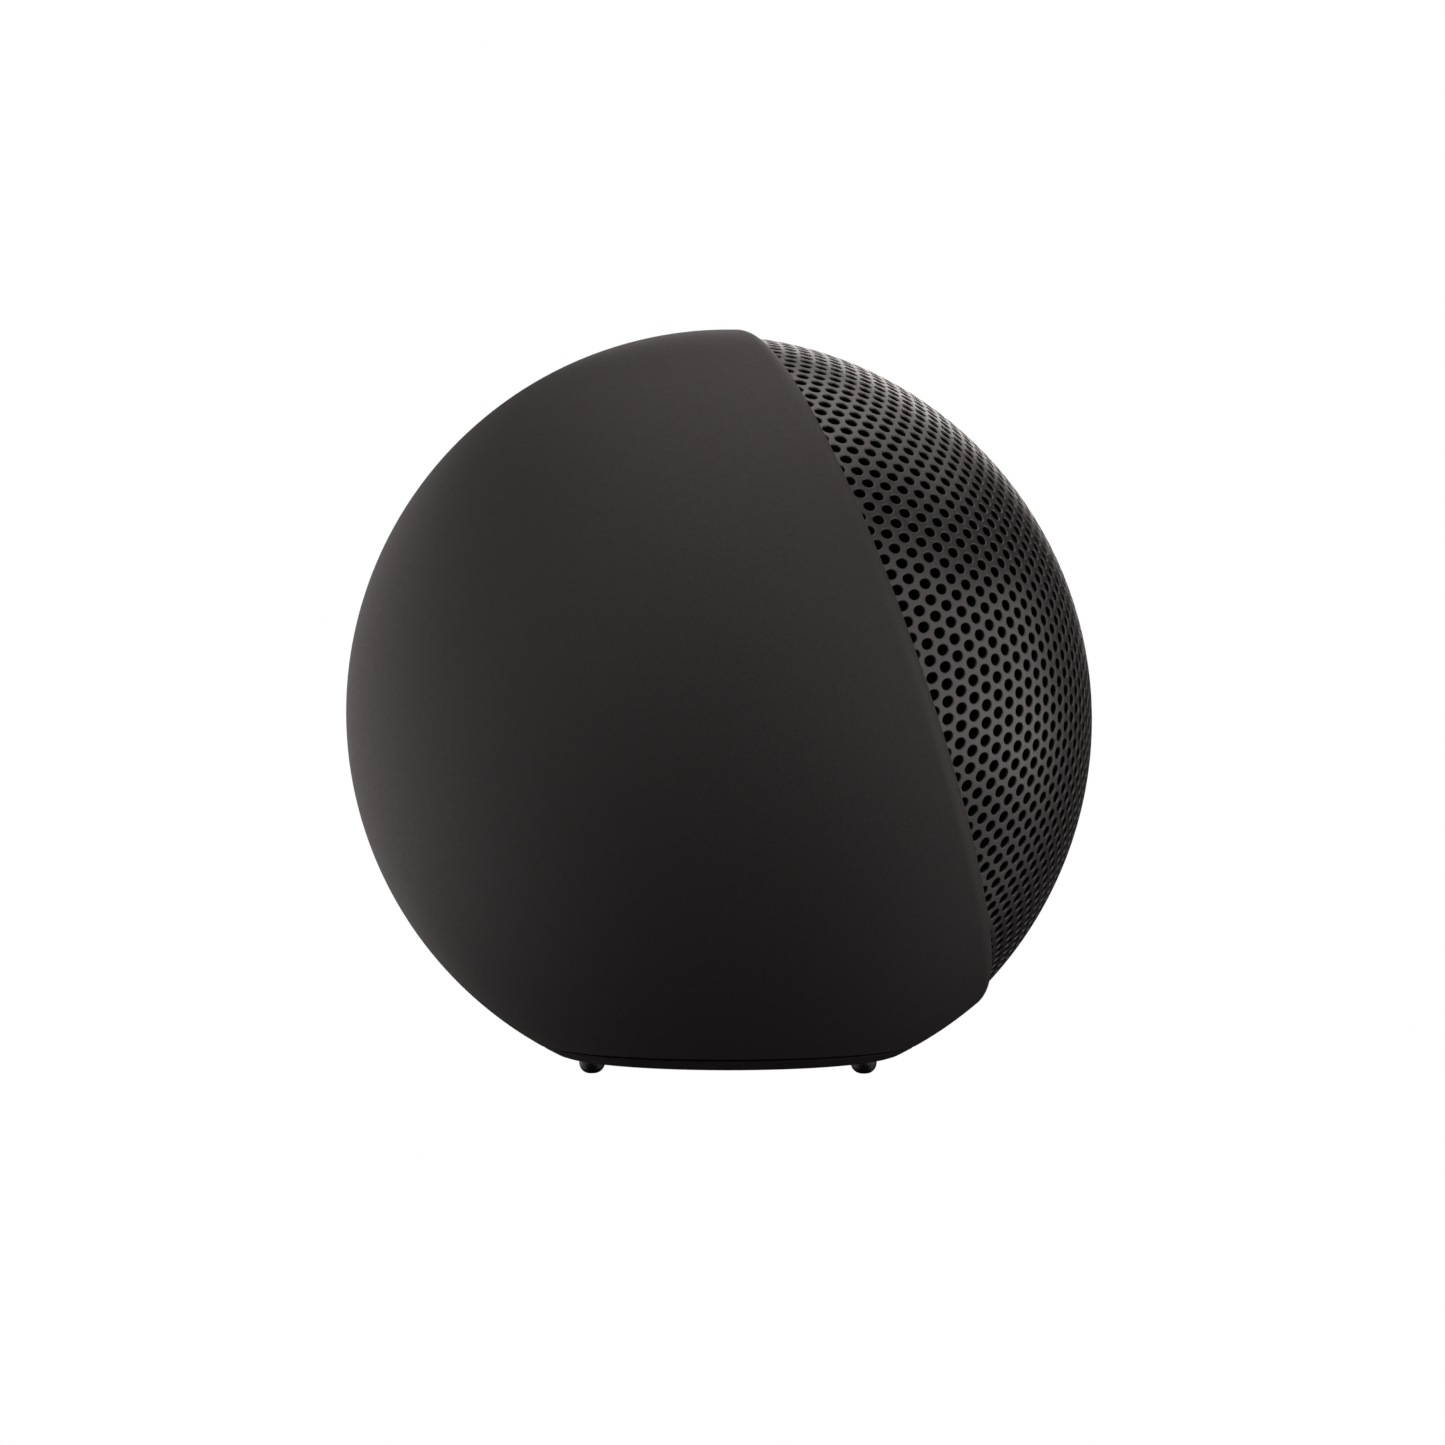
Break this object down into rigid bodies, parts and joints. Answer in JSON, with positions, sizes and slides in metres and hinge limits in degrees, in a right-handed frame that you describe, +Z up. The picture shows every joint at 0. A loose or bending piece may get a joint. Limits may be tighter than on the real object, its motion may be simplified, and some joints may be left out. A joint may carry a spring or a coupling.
{
  "type": "smart speaker",
  "caption": "Ball-shaped tabletop speaker with a smooth matte shell, a tilted perforated metal front dome, top keys, a rear power inlet and a flat base on small feet.",
  "frame": {"origin": "centre of the whole object's box at floor level: the plane of the feet's flat tips, midway between the rear of the shell and the front of the grille, in the plane of symmetry", "axes": "+Z up, -Y towards the grille, +X towards the right hand of a person who faces the grille; the plane X = 0 is the plane of symmetry"},
  "size_m": [0.1, 0.0976, 0.0965],
  "materials": {
    "shell_plastic": "fine matte spark-eroded texture, warm charcoal",
    "grille_paint": "satin metallic powder coat, warm dark grey, perforated",
    "acoustic_cloth": "fine black woven acoustic mesh",
    "frame_plastic": "plain moulded black",
    "foam": "closed-cell foam",
    "pressed_steel": "black electrocoat",
    "plated_steel": "zinc plate",
    "ferrite": "sintered ferrite",
    "copper_winding": "enamelled copper wire",
    "cone_paper": "coated paper pulp",
    "soft_rubber": "smooth black rubber",
    "spider_cloth": "resin-dipped weave",
    "circuit_board": "glass-epoxy laminate with green solder mask",
    "component_black": "moulded epoxy",
    "cast_aluminium": "plain aluminium",
    "cast_steel": "cast weight",
    "light_pipe": "clear diffusing plastic",
    "wire_jacket": "PVC lead jacket",
    "ribbon_film": "polyimide film"
  },
  "bodies": {
    "casing": {"rear_shell": "shell_plastic", "front_grille": "grille_paint", "acoustic_cloth": "acoustic_cloth", "grille_ring": "frame_plastic", "baffle_plate": "frame_plastic", "driver_gasket": "foam", "driver_basket": "pressed_steel", "driver_top_plate": "plated_steel", "driver_magnet": "ferrite", "driver_yoke": "plated_steel", "cone_surround": "soft_rubber", "driver_spider": "spider_cloth", "speaker_chamber": "frame_plastic", "main_board": "circuit_board", "shield_can": "plated_steel", "heat_sink": "cast_aluminium", "capacitor_1": "cast_aluminium", "capacitor_2": "cast_aluminium", "power_inductor": "component_black", "power_board": "circuit_board", "usb_socket": "plated_steel", "speaker_lead": "wire_jacket", "button_board": "circuit_board", "button_ribbon": "ribbon_film", "status_light_pipe": "light_pipe", "ballast_weight": "cast_steel", "base_plate": "frame_plastic", "baffle_screw_1": "plated_steel", "driver_screw_1": "plated_steel", "base_screw_1": "plated_steel", "foot_1": "soft_rubber", "tactile_switch_1": "component_black", "baffle_screw_2": "plated_steel", "driver_screw_2": "plated_steel", "base_screw_2": "plated_steel", "foot_2": "soft_rubber", "tactile_switch_2": "component_black", "baffle_screw_3": "plated_steel", "driver_screw_3": "plated_steel", "base_screw_3": "plated_steel", "foot_3": "soft_rubber", "tactile_switch_3": "component_black", "baffle_screw_4": "plated_steel", "driver_screw_4": "plated_steel", "base_screw_4": "plated_steel", "foot_4": "soft_rubber", "tactile_switch_4": "component_black", "board_screw_1": "plated_steel", "board_screw_2": "plated_steel", "board_screw_3": "plated_steel", "microphone_1": "plated_steel", "microphone_2": "plated_steel"},
    "cone": {"speaker_cone": "cone_paper", "voice_coil": "copper_winding", "dust_cap": "cone_paper"},
    "volume_up_key": {"volume_up_button": "shell_plastic"},
    "action_key": {"action_button": "shell_plastic"},
    "volume_down_key": {"volume_down_button": "shell_plastic"},
    "mute_key": {"mute_button": "shell_plastic"}
  },
  "joints": [
    {"name": "cone_travel", "type": "slide", "parent": "casing", "child": "cone", "axis": [0, -0.9409, 0.3387], "range_m": [-0.002, 0.002], "stiffness_N_per_m": 1500, "deforming": ["cone_surround", "driver_spider"]},
    {"name": "volume_up_press", "type": "slide", "parent": "casing", "child": "volume_up_key", "axis": [0.1599, 0.4482, 0.8795], "range_m": [-0.0006, 0], "stiffness_N_per_m": 400, "springref_m": 0.0006},
    {"name": "action_press", "type": "slide", "parent": "casing", "child": "action_key", "axis": [0, 0.5906, 0.807], "range_m": [-0.0006, 0], "stiffness_N_per_m": 400, "springref_m": 0.0006},
    {"name": "volume_down_press", "type": "slide", "parent": "casing", "child": "volume_down_key", "axis": [-0.1599, 0.4482, 0.8795], "range_m": [-0.0006, 0], "stiffness_N_per_m": 400, "springref_m": 0.0006},
    {"name": "mute_press", "type": "slide", "parent": "casing", "child": "mute_key", "axis": [0, 0.3057, 0.9521], "range_m": [-0.0006, 0], "stiffness_N_per_m": 400, "springref_m": 0.0006}
  ]
}
